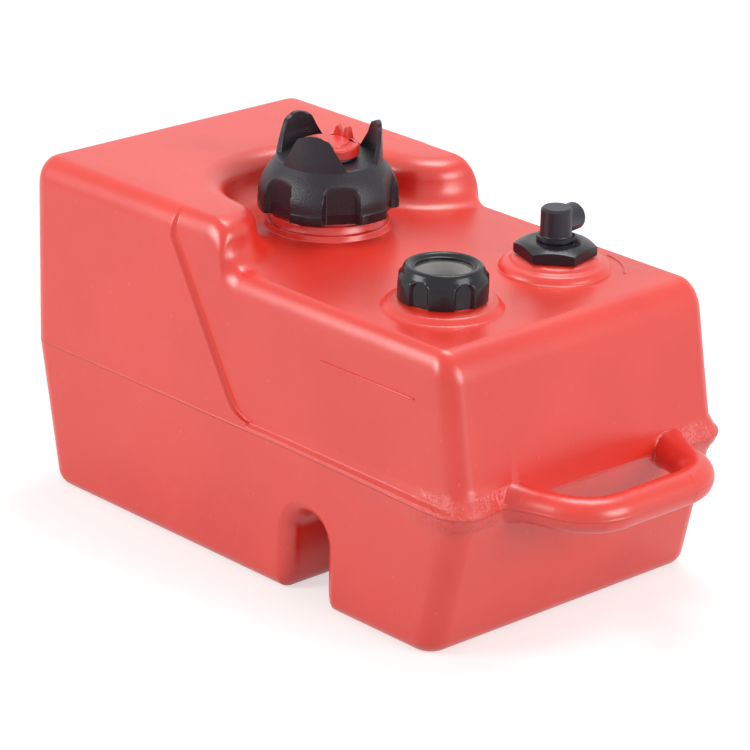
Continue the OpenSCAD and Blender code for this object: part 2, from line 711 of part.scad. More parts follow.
// Two rods between head and foot, which keep the float from turning
module gauge_guides() {
    color("silver")
    translate(gauge_at)
        for (side = [-1, 1])
            translate([side * guide_x, 0, foot_z[1] - 5])
                cylinder(h = cup_floor - 2 - foot_z[1] + 5, r = guide_r);
}
module gauge_foot() {
    color("white")
    translate(gauge_at)
    difference() {
        turned([[0, foot_z[0]], [12, foot_z[0]], [13, foot_z[0] + 1], [13, foot_z[1]], [0, foot_z[1]]]);
        translate([0, 0, foot_z[1] - 3]) cylinder(h = 4, r = spindle_r + run);
        for (side = [-1, 1])
            translate([side * guide_x, 0, foot_z[1] - 5]) cylinder(h = 6, r = guide_r);
    }
}
module gauge_float() {
    roof = 2;
    // The slot lies as the ribbon does at the middle of the roof's height
    turn = (float_z + float_h - roof / 2 - foot_z[1] - 2) * sweep_per_mm;
    color(black)
    translate(gauge_at)
    difference() {
        turned([[0, float_z], [float_r - 1, float_z], [float_r, float_z + 1], [float_r, float_z + float_h - 1],
            [float_r - 1, float_z + float_h], [0, float_z + float_h]]);
        translate([0, 0, float_z - 1]) cylinder(h = float_h + 1 - roof, r = 4.2);
        for (side = [-1, 1])
            translate([side * guide_x, 0, float_z - 1]) cylinder(h = float_h + 2, r = guide_r + slack);
        translate([0, 0, float_z + float_h - roof / 2])
            rotate([0, 0, turn])
                cube([6.8, 1.8, roof + 2], center = true);
    }
}

// ---------------------------------------------------------------------------------------------------------
// Withdrawal fitting, measured from the deck up at its neck's axis

seat_z = [outlet_neck_h, outlet_neck_h + 1.4];
bush_z = [seat_z[1], seat_z[1] + 1.8];
nut_top = bush_z[1] + 3.3;
nut_z = nut_top - 9;
spigot_r = 9;
ring_z = nut_top + 0.8;
elbow_top = ring_z + 19.7;
outlet_z = elbow_top - outlet_r - 1.4;
stem_r = 6;
stem_bore = 3.2;
bush_foot = -6;
clip_z = bush_foot - 1.6;
barb_r = dip_r - 1.6;
dip_top = clip_z - 2.4;
dip_foot = -deck_h + wall + 14;

module pickup_nut() {
    color(black)
    translate(outlet_at)
    difference() {
        intersection() {
            translate([0, 0, nut_z]) rotate([0, 0, nut_turn]) cylinder(h = nut_top - nut_z, r = nut_af / sqrt(3), $fn = 6);
            turned([[0, nut_z - 1], [nut_af * 0.56, nut_z - 1], [nut_af * 0.58, nut_z + 1.4],
                [nut_af * 0.58, nut_top - 3.8], [nut_af * 0.44, nut_top - 0.8], [nut_af * 0.36, nut_top], [0, nut_top]]);
        }
        translate([0, 0, nut_z - 1]) cylinder(h = bush_z[1] - nut_z + 1, r = outlet_neck_r + slack);
        cylinder(h = nut_top + 1, r = spigot_r + slack);
    }
}
module pickup_bush() {
    color("white")
    translate(outlet_at)
    difference() {
        turned([[0, bush_foot], [outlet_bore_r - slack - 1, bush_foot], [outlet_bore_r - slack, bush_foot + 1],
            [outlet_bore_r - slack, bush_z[0]], [outlet_neck_r, bush_z[0]], [outlet_neck_r, bush_z[1]],
            [spigot_r, bush_z[1]], [spigot_r, ring_z], [0, ring_z]]);
        translate([0, 0, bush_foot - 1]) cylinder(h = ring_z - bush_foot + 2, r = stem_r + run);
    }
}
module pickup_gasket() {
    color(rubber)
    translate(outlet_at)
        ring(seat_z[0], seat_z[1], outlet_bore_r + slack, outlet_neck_r);
}
module pickup_elbow() {
    color(black)
    translate(outlet_at)
    difference() {
        union() {
            turned([[0, dip_top - 12], [barb_r - 0.4, dip_top - 12], [barb_r, dip_top - 11], [barb_r, dip_top],
                [stem_r, dip_top], [stem_r, clip_z - 0.6], [stem_r - 0.9, clip_z - 0.6], [stem_r - 0.9, clip_z + 0.8],
                [stem_r, clip_z + 0.8], [stem_r, 1.1], [stem_r - 1.3, 1.1], [stem_r - 1.3, 2.9], [stem_r, 2.9],
                [stem_r, ring_z], [elbow_r + 2.1, ring_z], [elbow_r + 2.1, ring_z + 2], [elbow_r + 0.4, ring_z + 2.4],
                [elbow_r, ring_z + 3.2], [elbow_r, elbow_top - 1.4], [elbow_r - 1.4, elbow_top], [0, elbow_top]]);
            translate([0, 0, outlet_z])
                rotate([0, 90, outlet_turn])
                    cylinder(h = outlet_l, r = outlet_r);
        }
        translate([0, 0, dip_top - 13]) cylinder(h = outlet_z - dip_top + 13, r = stem_bore);
        translate([0, 0, outlet_z])
            rotate([0, 90, outlet_turn]) {
                cylinder(h = outlet_l, r = stem_bore);
                translate([0, 0, outlet_l - port_l]) cylinder(h = port_l + 1, r = port_r);
            }
    }
}
module elbow_oring() {
    color(rubber)
    translate(outlet_at + [0, 0, 2])
        rotate_extrude()
            translate([stem_r - 0.55, 0])
                circle(r = 0.6, $fn = 24);
}
module elbow_clip() {
    color("silver")
    translate(outlet_at)
    difference() {
        ring(clip_z - 0.5, clip_z + 0.5, stem_r - 0.8, stem_r + 3);
        translate([0, 0, clip_z]) rotate([0, 0, 20]) translate([5, 0, 0]) cube([10, 4, 3], center = true);
    }
}
module dip_tube() {
    color("#dddddd")
    translate(outlet_at)
        ring(dip_foot, dip_top, barb_r, dip_r);
}
// Strainer cup with upright slots, pushed over the dip tube's end
module pickup_screen() {
    r = dip_r + 2;
    z0 = dip_foot - 12;
    color("white")
    translate(outlet_at)
    difference() {
        translate([0, 0, z0]) cylinder(h = 24, r = r);
        translate([0, 0, z0 + 2]) cylinder(h = 10.1, r = r - 1.4);
        translate([0, 0, z0 + 12]) cylinder(h = 13, r = dip_r);
        for (a = [0 : 60 : 120])
            rotate([0, 0, a]) translate([0, 0, z0 + 6.5]) cube([2 * r + 2, 2, 7], center = true);
    }
}

tank_shell();
fill_cap();
cap_liner();
cap_gasket();
vent_knob();
vent_poppet();
vent_seal();
vent_spring();
gauge_collar();
gauge_lens();
gauge_head();
gauge_gasket();
gauge_dial();
gauge_pointer();
gauge_ribbon();
gauge_guides();
gauge_foot();
gauge_float();
pickup_nut();
pickup_bush();
pickup_gasket();
pickup_elbow();
elbow_oring();
elbow_clip();
dip_tube();
pickup_screen();
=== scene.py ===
# %% [markdown]
# # Portable outboard fuel tank
# The tank is one hollow moulding of red polyethylene with black nylon fittings on its deck. The imported model gives
# every piece its place, so each cell below only makes a piece look like the real one. We start by loading that
# model, which the script calls the frame.

# %% Load the frame
import json
import math
import bpy
import bmesh
from mathutils import Matrix, Vector


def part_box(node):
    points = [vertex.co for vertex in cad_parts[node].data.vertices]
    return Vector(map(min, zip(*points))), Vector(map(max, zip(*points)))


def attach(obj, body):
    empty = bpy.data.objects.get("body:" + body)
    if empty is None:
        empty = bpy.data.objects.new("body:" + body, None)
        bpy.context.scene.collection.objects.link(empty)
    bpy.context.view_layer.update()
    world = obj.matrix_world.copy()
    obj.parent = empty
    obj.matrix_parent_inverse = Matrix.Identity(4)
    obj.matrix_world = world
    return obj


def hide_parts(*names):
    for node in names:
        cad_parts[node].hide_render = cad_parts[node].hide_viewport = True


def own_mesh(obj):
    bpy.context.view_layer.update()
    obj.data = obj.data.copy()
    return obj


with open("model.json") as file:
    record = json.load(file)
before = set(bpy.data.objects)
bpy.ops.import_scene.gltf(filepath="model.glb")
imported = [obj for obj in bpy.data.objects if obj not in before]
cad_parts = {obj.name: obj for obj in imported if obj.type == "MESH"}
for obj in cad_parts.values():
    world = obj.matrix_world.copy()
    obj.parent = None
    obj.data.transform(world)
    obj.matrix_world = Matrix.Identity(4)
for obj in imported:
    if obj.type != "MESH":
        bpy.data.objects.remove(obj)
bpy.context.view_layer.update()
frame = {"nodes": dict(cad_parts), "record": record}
nodes = frame["nodes"]
scene = bpy.context.scene
body_of = {node: body for body, members in frame["record"]["behaviour"]["bodies"].items() for node in members}

# %% [markdown]
# ## Reference heights
# Fittings are measured from the deck up, each at the axis of its own neck. Reading these places from the frame
# once keeps every later cell short.

# %% Axes and heights
MM = 0.001


def middle_of(node):
    low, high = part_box(node)
    return (low + high) / 2


DECK = 0.188
BELT = 0.094
fill_axis = middle_of("cap_gasket")
gauge_axis = middle_of("gauge_lens")
outlet_axis = middle_of("pickup_gasket")
print("fill, gauge and outlet axes:", [tuple(round(v, 4) for v in a[:2]) for a in (fill_axis, gauge_axis, outlet_axis)])

# %% [markdown]
# ## Camera
# The photograph was taken with a long lens from the front corner, a little above the deck. Three directions make
# the camera's matrix: its right, its up and its back. A small roll turns right and up about the back direction.

# %% Camera
azimuth, elevation, roll = (math.radians(a) for a in (46.72, 21.01, 1.40))
back = Vector((math.sin(azimuth) * math.cos(elevation), -math.cos(azimuth) * math.cos(elevation), math.sin(elevation)))
level = Vector((math.cos(azimuth), math.sin(azimuth), 0))
upright = back.cross(level)
right = level * math.cos(roll) + upright * math.sin(roll)
upwards = upright * math.cos(roll) - level * math.sin(roll)

lens = bpy.data.cameras.new("camera")
lens.sensor_width = 36
lens.lens = 3791 / 750 * 36
lens.clip_end = 20
camera = bpy.data.objects.new("camera", lens)
place = Matrix((right, upwards, back)).transposed().to_4x4()
place.translation = (1.5785, -1.507, 0.945)
camera.matrix_world = place
scene.collection.objects.link(camera)
scene.camera = camera
print("lens", round(lens.lens, 1), "mm")

# %% [markdown]
# ## Small helpers for node trees
# Every finish below is a tree of nodes. Two short helpers add a node with its settings and read an object
# coordinate, so that the cells which use them stay short.

# %% Node helpers


def add(tree, kind, settings=None, **values):
    """A node of one kind; settings are its properties and values its input sockets, by their names."""
    made = tree.nodes.new(kind)
    for key, value in (settings or {}).items():
        setattr(made, key, value)
    for key, value in values.items():
        socket = made.inputs[key.replace("_", " ")]
        if isinstance(value, bpy.types.NodeSocket):
            tree.links.new(value, socket)
        else:
            socket.default_value = value
    return made


def calc(tree, how, a, b=0.0, c=0.0):
    made = tree.nodes.new("ShaderNodeMath")
    made.operation = how
    for socket, value in zip(made.inputs, (a, b, c)):
        if isinstance(value, bpy.types.NodeSocket):
            tree.links.new(value, socket)
        else:
            socket.default_value = value
    return made.outputs[0]


def ramp(tree, value, low, high, to_low=0.0, to_high=1.0, soft=True):
    made = add(tree, "ShaderNodeMapRange", {"interpolation_type": "SMOOTHSTEP" if soft else "LINEAR"})
    tree.links.new(value, made.inputs["Value"])
    for name, number in (("From Min", low), ("From Max", high), ("To Min", to_low), ("To Max", to_high)):
        made.inputs[name].default_value = number
    return made.outputs["Result"]


print("helpers ready")

# %% [markdown]
# ## Floor and light
# A product picture stands on white paper in a white room. The paper glows a little, but only for the camera and for
# mirror-like rays, so it turns white without lighting the object more, and the soft shadow at the foot stays.

# %% Floor
bpy.ops.mesh.primitive_plane_add(size=14)
floor = bpy.context.object
floor.name = "paper_floor"
paper = bpy.data.materials.new("white_paper")
paper.use_nodes = True
tree = paper.node_tree
tree.nodes.clear()
path = add(tree, "ShaderNodeLightPath")
seen = calc(tree, "MAXIMUM", path.outputs["Is Camera Ray"], path.outputs["Is Glossy Ray"])
glow = add(tree, "ShaderNodeEmission", Color=(1, 1, 1, 1), Strength=calc(tree, "MULTIPLY", seen, 0.60))
base = add(tree, "ShaderNodeBsdfDiffuse", Color=(0.52, 0.52, 0.52, 1))
both = add(tree, "ShaderNodeAddShader")
tree.links.new(base.outputs[0], both.inputs[0])
tree.links.new(glow.outputs[0], both.inputs[1])
add(tree, "ShaderNodeOutputMaterial", Surface=both.outputs[0])
floor.data.materials.append(paper)
print("floor ready")

# %% White room and lamps
world = bpy.data.worlds.new("white_room")
scene.world = world
world.use_nodes = True
tree = world.node_tree
path = add(tree, "ShaderNodeLightPath")
seen = calc(tree, "MAXIMUM", path.outputs["Is Camera Ray"], path.outputs["Is Transmission Ray"])
seen = calc(tree, "MAXIMUM", seen, path.outputs["Is Glossy Ray"])
sky = tree.nodes["Background"]
sky.inputs["Color"].default_value = (1, 1, 1, 1)
tree.links.new(ramp(tree, seen, 0, 1, 0.42, 1.0, soft=False), sky.inputs["Strength"])


def soft_lamp(name, place, aim, size, power):
    lamp = bpy.data.lights.new(name, "AREA")
    lamp.shape = "RECTANGLE"
    lamp.size, lamp.size_y = size
    lamp.energy = power
    thing = bpy.data.objects.new(name, lamp)
    thing.location = place
    thing.rotation_euler = (Vector(aim) - Vector(place)).to_track_quat("-Z", "Y").to_euler()
    scene.collection.objects.link(thing)
    return thing


soft_lamp("softbox_left", (-0.9, -1.9, 1.0), (0, 0, 0.1), (1.1, 0.9), 27)
soft_lamp("softbox_right", (2.1, 0.4, 0.9), (0, 0, 0.1), (1.2, 1.0), 24)
soft_lamp("softbox_top", (-0.3, 0.6, 2.1), (0, 0, 0.15), (1.0, 0.8), 19)
scene.view_settings.view_transform = "Standard"

# %% [markdown]
# ## Shared surface effects
# Moulded plastic is never perfectly even. One group adds a fine grain and the slow ripple left by moulding, and
# gives a normal. A second group lets the colour wander at random between two tones and adds sparse pale specks of
# dust. They are built once and placed in each material with their own values.

# %% Group for grain and ripple


def new_group(name, sockets):
    group = bpy.data.node_groups.new(name, "ShaderNodeTree")
    for label, kind, way, value in sockets:
        socket = group.interface.new_socket(label, in_out=way, socket_type=kind)
        if value is not None:
            socket.default_value = value
    return group, group.nodes.new("NodeGroupInput").outputs, group.nodes.new("NodeGroupOutput").inputs


grain_group, g_in, g_out = new_group("moulded_grain", [
    ("Grain Scale", "NodeSocketFloat", "INPUT", 900.0), ("Grain Height", "NodeSocketFloat", "INPUT", 0.00004),
    ("Ripple Scale", "NodeSocketFloat", "INPUT", 18.0), ("Ripple Height", "NodeSocketFloat", "INPUT", 0.0003),
    ("Relief", "NodeSocketFloat", "INPUT", 0.0), ("Relief Height", "NodeSocketFloat", "INPUT", 0.001),
    ("Normal", "NodeSocketVector", "OUTPUT", None), ("Grain", "NodeSocketFloat", "OUTPUT", None),
    ("Ripple", "NodeSocketFloat", "OUTPUT", None)])
here = add(grain_group, "ShaderNodeTexCoord").outputs["Object"]
fine = add(grain_group, "ShaderNodeTexNoise", Vector=here, Scale=g_in["Grain Scale"], Detail=3.0).outputs["Fac"]
slow = add(grain_group, "ShaderNodeTexNoise", Vector=here, Scale=g_in["Ripple Scale"], Detail=2.0).outputs["Fac"]
bump = add(grain_group, "ShaderNodeBump", Height=slow, Distance=g_in["Ripple Height"])
bump = add(grain_group, "ShaderNodeBump", Height=g_in["Relief"], Distance=g_in["Relief Height"],
           Normal=bump.outputs["Normal"])
bump = add(grain_group, "ShaderNodeBump", Height=fine, Distance=g_in["Grain Height"], Normal=bump.outputs["Normal"])
grain_group.links.new(bump.outputs["Normal"], g_out["Normal"])
grain_group.links.new(fine, g_out["Grain"])
grain_group.links.new(slow, g_out["Ripple"])
print("group", grain_group.name)

# %% Group for the tone of a plastic
tone_group, t_in, t_out = new_group("plastic_tone", [
    ("Light", "NodeSocketColor", "INPUT", (0.5, 0.5, 0.5, 1)), ("Deep", "NodeSocketColor", "INPUT", (0.3, 0.3, 0.3, 1)),
    ("Scale", "NodeSocketFloat", "INPUT", 14.0), ("Dust", "NodeSocketFloat", "INPUT", 0.0),
    ("Color", "NodeSocketColor", "OUTPUT", None)])
here = add(tone_group, "ShaderNodeTexCoord").outputs["Object"]
cloud = add(tone_group, "ShaderNodeTexNoise", Vector=here, Scale=t_in["Scale"], Detail=4.0).outputs["Fac"]
blend = add(tone_group, "ShaderNodeMix", {"data_type": "RGBA"}, A=t_in["Deep"], B=t_in["Light"],
            Factor=ramp(tone_group, cloud, 0.35, 0.65))
speck = add(tone_group, "ShaderNodeTexNoise", Vector=here, Scale=420.0, Detail=2.0).outputs["Fac"]
speck = calc(tone_group, "MULTIPLY", ramp(tone_group, speck, 0.70, 0.76), t_in["Dust"])
dusty = add(tone_group, "ShaderNodeMix", {"data_type": "RGBA"}, A=blend.outputs["Result"],
            B=(0.8, 0.55, 0.5, 1), Factor=speck)
tone_group.links.new(dusty.outputs["Result"], t_out["Color"])
print("group", tone_group.name)

# %% Helper for plastics


def plastic(name, light, deep, rough, grain=(900, 0.00004), ripple=(18, 0.0003), dust=0.0, spread=0.05, shine=0.5):
    """A plastic whose colour wanders between two tones, with grain and ripple. shine is its specular level."""
    material = bpy.data.materials.new(name)
    material.use_nodes = True
    tree = material.node_tree
    shader = tree.nodes["Principled BSDF"]
    shader.inputs["Specular IOR Level"].default_value = shine
    surface = add(tree, "ShaderNodeGroup", {"node_tree": grain_group, "name": "surface"})
    surface.inputs["Grain Scale"].default_value, surface.inputs["Grain Height"].default_value = grain
    surface.inputs["Ripple Scale"].default_value, surface.inputs["Ripple Height"].default_value = ripple
    tone = add(tree, "ShaderNodeGroup", {"node_tree": tone_group, "name": "tone"})
    tone.inputs["Light"].default_value = (*light, 1)
    tone.inputs["Deep"].default_value = (*deep, 1)
    tone.inputs["Dust"].default_value = dust
    tree.links.new(tone.outputs["Color"], shader.inputs["Base Color"])
    gloss = ramp(tree, surface.outputs["Grain"], 0.3, 0.7, rough - spread, rough + spread, soft=False)
    tree.links.new(gloss, shader.inputs["Roughness"])
    tree.links.new(surface.outputs["Normal"], shader.inputs["Normal"])
    return material


knob_red = plastic("knob_red", (0.76, 0.035, 0.025), (0.70, 0.028, 0.02), 0.36, (1500, 0.00003), shine=0.7)
smooth_black = plastic("smooth_black", (0.012, 0.010, 0.015), (0.008, 0.007, 0.011), 0.24, (1800, 0.00002), shine=0.36)
elbow_black = plastic("elbow_black", (0.020, 0.017, 0.026), (0.012, 0.011, 0.016), 0.38, (1400, 0.00005), shine=0.4)
acetal = plastic("acetal", (0.78, 0.76, 0.7), (0.72, 0.7, 0.64), 0.42)
rubber = plastic("rubber", (0.03, 0.03, 0.031), (0.02, 0.02, 0.02), 0.75, (1200, 0.0001))
tube_white = plastic("tube_white", (0.80, 0.80, 0.77), (0.74, 0.74, 0.70), 0.34, (600, 0.00003))
tube_white.node_tree.nodes["Principled BSDF"].inputs["Transmission Weight"].default_value = 0.25
dial_grey = plastic("dial_grey", (0.15, 0.15, 0.18), (0.12, 0.12, 0.15), 0.6, (1600, 0.00003))
pointer_orange = plastic("pointer_orange", (0.90, 0.30, 0.12), (0.84, 0.25, 0.10), 0.55)
float_foam = plastic("float_foam", (0.035, 0.033, 0.032), (0.02, 0.019, 0.018), 0.85, (1100, 0.0004), (60, 0.0004))
print("plastics:", [m.name for m in bpy.data.materials])

# %% [markdown]
# ## The tank's red
# The moulding is satin, not glossy: it shows broad pale highlights on its rounded edges and a deep red wherever it
# only sees itself. Its parting line runs round the body at the widest height, as a fine raised flash, which on the
# real tank fades towards the back but here runs evenly all round. Near the handle's legs the two mould halves have
# pinched the wall into small wrinkles.
# Both are heights worked out from object coordinates, so they stay on the tank from every side.

# %% Tank material
tank_red = plastic("tank_red", (0.80, 0.034, 0.016), (0.75, 0.024, 0.011), 0.33, (1300, 0.00002), (22, 0.0005), 0.12,
                   shine=1.0)
tree = tank_red.node_tree
spot = add(tree, "ShaderNodeSeparateXYZ", Vector=add(tree, "ShaderNodeTexCoord").outputs["Object"])
wander = add(tree, "ShaderNodeTexNoise", Vector=tree.nodes["Texture Coordinate"].outputs["Object"], Scale=9.0)
drift = ramp(tree, wander.outputs["Fac"], 0.2, 0.8, -0.0006, 0.0006, soft=False)
off_belt = calc(tree, "ABSOLUTE", calc(tree, "SUBTRACT", spot.outputs["Z"], calc(tree, "ADD", drift, BELT)))
flash = ramp(tree, off_belt, 0.0002, 0.0011, 1.0, 0.0)
crease = add(tree, "ShaderNodeTexNoise", {"noise_dimensions": "3D"}, Scale=170.0, Detail=5.0, Roughness=0.65,
             Vector=tree.nodes["Texture Coordinate"].outputs["Object"]).outputs["Fac"]
near_belt = ramp(tree, off_belt, 0.006, 0.017, 1.0, 0.0)
at_front = ramp(tree, spot.outputs["X"], 0.118, 0.150)
outside = ramp(tree, calc(tree, "ABSOLUTE", spot.outputs["Y"]), 0.066, 0.088)
pinched = calc(tree, "MULTIPLY", calc(tree, "MULTIPLY", near_belt, at_front), outside)
relief = calc(tree, "MULTIPLY_ADD", calc(tree, "MULTIPLY", crease, pinched), 1.6, calc(tree, "MULTIPLY", flash, 0.35))
surface = tree.nodes["surface"]
tree.links.new(relief, surface.inputs["Relief"])
surface.inputs["Relief Height"].default_value = 0.0012
print("tank material has", len(tree.nodes), "nodes")

# %% [markdown]
# ## Making a piece stand for a CAD piece
# A CAD mesh is made of loose triangles. A copy with its doubles merged shades smoothly, and a narrow bevel on its
# sharp edges catches the light as a moulded edge does. The helper below gives a finished mesh its material and its
# body, and hides the CAD piece that it stands for.

# %% Helpers for pieces


def finish_piece(bm, name, node, material, bevel=0.0, steps=2, sharp=38.0):
    """An object from a bmesh, shaded smooth between its sharp edges, riding where the CAD piece rides."""
    mesh = bpy.data.meshes.new(name)
    bm.to_mesh(mesh)
    bm.free()
    mesh.polygons.foreach_set("use_smooth", [True] * len(mesh.polygons))
    mesh.set_sharp_from_angle(angle=math.radians(sharp))
    thing = bpy.data.objects.new(name, mesh)
    scene.collection.objects.link(thing)
    mesh.materials.append(material)
    if bevel:
        rounding = thing.modifiers.new("soft_edges", "BEVEL")
        rounding.width = bevel
        rounding.segments = steps
        rounding.limit_method = "ANGLE"
        rounding.angle_limit = math.radians(sharp)
        rounding.harden_normals = False
    even = thing.modifiers.new("even_normals", "WEIGHTED_NORMAL")
    even.keep_sharp = not bevel
    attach(thing, body_of[node])
    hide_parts(node)
    return thing


def merged(node, flat=0.0):
    """The CAD piece's mesh with its doubles merged, and its flat areas joined where flat is an angle."""
    bm = bmesh.new()
    bm.from_mesh(nodes[node].data)
    bmesh.ops.remove_doubles(bm, verts=bm.verts, dist=3e-6)
    if flat:
        bmesh.ops.dissolve_limit(bm, angle_limit=math.radians(flat), verts=bm.verts, edges=bm.edges)
    return bm


print("piece helpers ready")

# %% [markdown]
# ## The red moulding
# The CAD surface is already the real one, with its step, bay, panels and necks. Only its shading needs help: its
# facets are merged, and each sunk side panel, which is one flat polygon, is cut out along its rim and filled anew
# so that its triangles don't overlap. Weighted normals then let the large walls stay flat and the fillets flow.

# %% Tank skin
skin = merged("tank_shell")
for level in (-0.108, -0.105, 0.105, 0.108):
    flat = [f for f in skin.faces if all(abs(v.co.y - level) < 2e-6 and v.co.z > 0.09 for v in f.verts)]
    bmesh.ops.delete(skin, geom=flat, context="FACES")
    rim = [e for e in skin.edges if e.is_boundary]
    filled = bmesh.ops.triangle_fill(skin, use_beauty=True, edges=rim)["geom"]
    print("panel at", level, "had", len(flat), "faces, now", len([g for g in filled if isinstance(g, bmesh.types.BMFace)]))
bmesh.ops.recalc_face_normals(skin, faces=skin.faces)
inside_out = skin.calc_volume(signed=True) < 0
if inside_out:
    bmesh.ops.reverse_faces(skin, faces=skin.faces)
print("open edges", sum(e.is_boundary for e in skin.edges), "litres of plastic", round(skin.calc_volume() * 1000, 3))
tank = finish_piece(skin, "red_moulding", "tank_shell", tank_red, sharp=62)
print("tank skin faces", len(tank.data.polygons))

# %% [markdown]
# ## Fluted caps
# The fill cap and the gauge collar are turned shapes with flutes pressed into their sides. A ring of vertices is
# extruded from height to height, and each new ring takes the smaller of two radii: that of the turned outline and
# that of the flute. A smooth minimum rounds the edge where the two meet, which gives the flutes natural arches.

# %% Fluted turning


def soft_least(a, b, width):
    share = max(0.0, min(1.0, 0.5 + 0.5 * (b - a) / width))
    return b * (1 - share) + a * share - width * share * (1 - share)


def fluted_turning(axis, outer, inner, flutes, segments, edge=0.9):
    """Rings through outer and then inner, both [radius, height] in millimetres over the deck, joined at the foot.
    flutes is (count, first, distance, width, top): the angle of the first one in degrees, sizes in millimetres."""
    count, first, distance, width, top = flutes
    bm = bmesh.new()
    ring = bmesh.ops.create_circle(bm, segments=segments, radius=1)["verts"]
    edges = list({e for v in ring for e in v.link_edges})
    start = edges
    rounds = [(r, z, True) for r, z in outer] + [(r, z, False) for r, z in inner]
    for number, (r, z, outside) in enumerate(rounds):
        if number:
            grown = bmesh.ops.extrude_edge_only(bm, edges=edges)["geom"]
            ring = [g for g in grown if isinstance(g, bmesh.types.BMVert)]
            edges = [g for g in grown if isinstance(g, bmesh.types.BMEdge)]
        for v in ring:
            angle = math.atan2(v.co.y, v.co.x)
            radius = r
            if outside:
                turn = (math.degrees(angle) - first) % (360 / count)
                turn = math.radians(turn - 360 / count if turn > 180 / count else turn)
                across = distance * abs(math.tan(turn))
                room = width / 2 * (1 if z < top - width * 0.3 else
                                    math.sqrt(max(0.0, 1 - ((z - top + width * 0.3) / (width * 0.32)) ** 2)))
                press = distance / math.cos(turn) + max(0.0, across - room + 1.2) * 2.4
                radius = soft_least(r, press, edge)
            v.co = (radius * math.cos(angle), radius * math.sin(angle), z)
    bmesh.ops.bridge_loops(bm, edges=start + edges)
    bmesh.ops.recalc_face_normals(bm, faces=bm.faces)
    bmesh.ops.scale(bm, vec=(MM, MM, MM), verts=bm.verts)
    bmesh.ops.translate(bm, vec=(axis.x, axis.y, DECK), verts=bm.verts)
    return bm


print("fluted turning ready")

# %% [markdown]
# ## Fill cap
# The cap is black nylon with a stippled surface, and only its lowest band is smooth. It has six lobes, a dome over
# them, and three curved wings on the dome's rim. The material tells the band from the rest by its height.

# %% Cap material
cap_black = plastic("cap_black", (0.015, 0.012, 0.019), (0.010, 0.008, 0.013), 0.42, (1200, 0.00022), (40, 0.0002),
                    shine=0.42)
tree = cap_black.node_tree
height = add(tree, "ShaderNodeSeparateXYZ", Vector=add(tree, "ShaderNodeTexCoord").outputs["Object"]).outputs["Z"]
stippled = ramp(tree, height, DECK + 0.0177, DECK + 0.0183)
surface = tree.nodes["surface"]
tree.links.new(calc(tree, "MULTIPLY_ADD", stippled, 0.00024, 0.00001), surface.inputs["Grain Height"])
shader = tree.nodes["Principled BSDF"]
rough = calc(tree, "MULTIPLY_ADD", stippled, 0.16, 0.20)
spots = ramp(tree, surface.outputs["Grain"], 0.3, 0.7, -0.08, 0.08, soft=False)
tree.links.new(calc(tree, "ADD", rough, calc(tree, "MULTIPLY", spots, stippled)), shader.inputs["Roughness"])
print("cap material ready")

# %% Lobes and dome
cap_turn = 59
dome = [(43.2, 12.0), (43.75, 12.2), (44.0, 12.8), (44.0, 15.0), (44.0, 17.6), (43.9, 18.0), (43.6, 18.3), (43.6, 20.0),
        (43.6, 22.0), (43.5, 24.0), (43.2, 25.5), (42.8, 27.0), (42.2, 28.7), (41.6, 30.2), (40.9, 31.8), (40.1, 33.4),
        (39.2, 35.0), (38.2, 36.6), (37.0, 38.2), (35.8, 39.8), (34.6, 41.4), (33.6, 42.8), (32.9, 43.6), (32.2, 43.95),
        (31.0, 44.0)]
hollow = [(24.0, 44.0), (17.9, 44.0), (17.3, 44.4), (17.3, 45.6), (17.2, 45.7), (7.1, 45.7), (7.1, 32.2), (36.0, 32.2),
          (36.0, 12.2), (36.2, 12.0)]
cap_bm = fluted_turning(fill_axis, dome, hollow, (6, cap_turn + 30, 38.2, 21, 38), 288)
print("cap rings", len(dome) + len(hollow), "faces", len(cap_bm.faces))

# %% Wings
WING = (33.4, 32.2, 20.9, 42.0)


def wing_into(bm, turn):
    """A curved blade on the dome's rim: a grid bent round the axis, then given its thickness."""
    foot, crest, tall, wide = WING
    grid = bmesh.ops.create_grid(bm, x_segments=16, y_segments=14, size=1)["verts"]
    outline = [(-0.10, 1.02), (0.25, 0.84), (0.5, 0.70), (0.70, 0.60), (0.82, 0.53), (0.91, 0.45), (0.97, 0.36), (1.02, 0.26)]
    for v in grid:
        up = (v.co.y + 1) / 2
        rise = -0.10 + 1.12 * (up ** 0.85)
        for (z0, w0), (z1, w1) in zip(outline, outline[1:]):
            if z0 <= rise <= z1 + 1e-6:
                half = (w0 + (w1 - w0) * (rise - z0) / (z1 - z0)) * wide / 2
        side = v.co.x * half
        lift = rise * tall - 0.9 * (abs(v.co.x) ** 3) * max(0.0, rise - 0.9) * 10
        radius = foot + (crest - foot) * max(0.0, rise)
        v.co = (math.sqrt(radius ** 2 - side ** 2), side, 44 + lift)
    faces = list({f for v in grid for f in v.link_faces})
    bmesh.ops.recalc_face_normals(bm, faces=faces)
    if sum((f.normal.x for f in faces)) < 0:
        bmesh.ops.reverse_faces(bm, faces=faces)
    walls = bmesh.ops.solidify(bm, geom=faces, thickness=2.6)["geom"]
    verts = list({v for g in walls if isinstance(g, bmesh.types.BMFace) for v in g.verts} | set(grid))
    for v in verts:
        if v not in grid:
            inward = 1.4 * max(0.0, min(1.0, (54 - v.co.z) / 10))
            v.co.x -= inward
    bmesh.ops.scale(bm, vec=(MM, MM, MM), verts=verts)
    bmesh.ops.rotate(bm, matrix=Matrix.Rotation(math.radians(turn), 3, "Z"), verts=verts)
    bmesh.ops.translate(bm, vec=(fill_axis.x, fill_axis.y, DECK), verts=verts)
    return verts


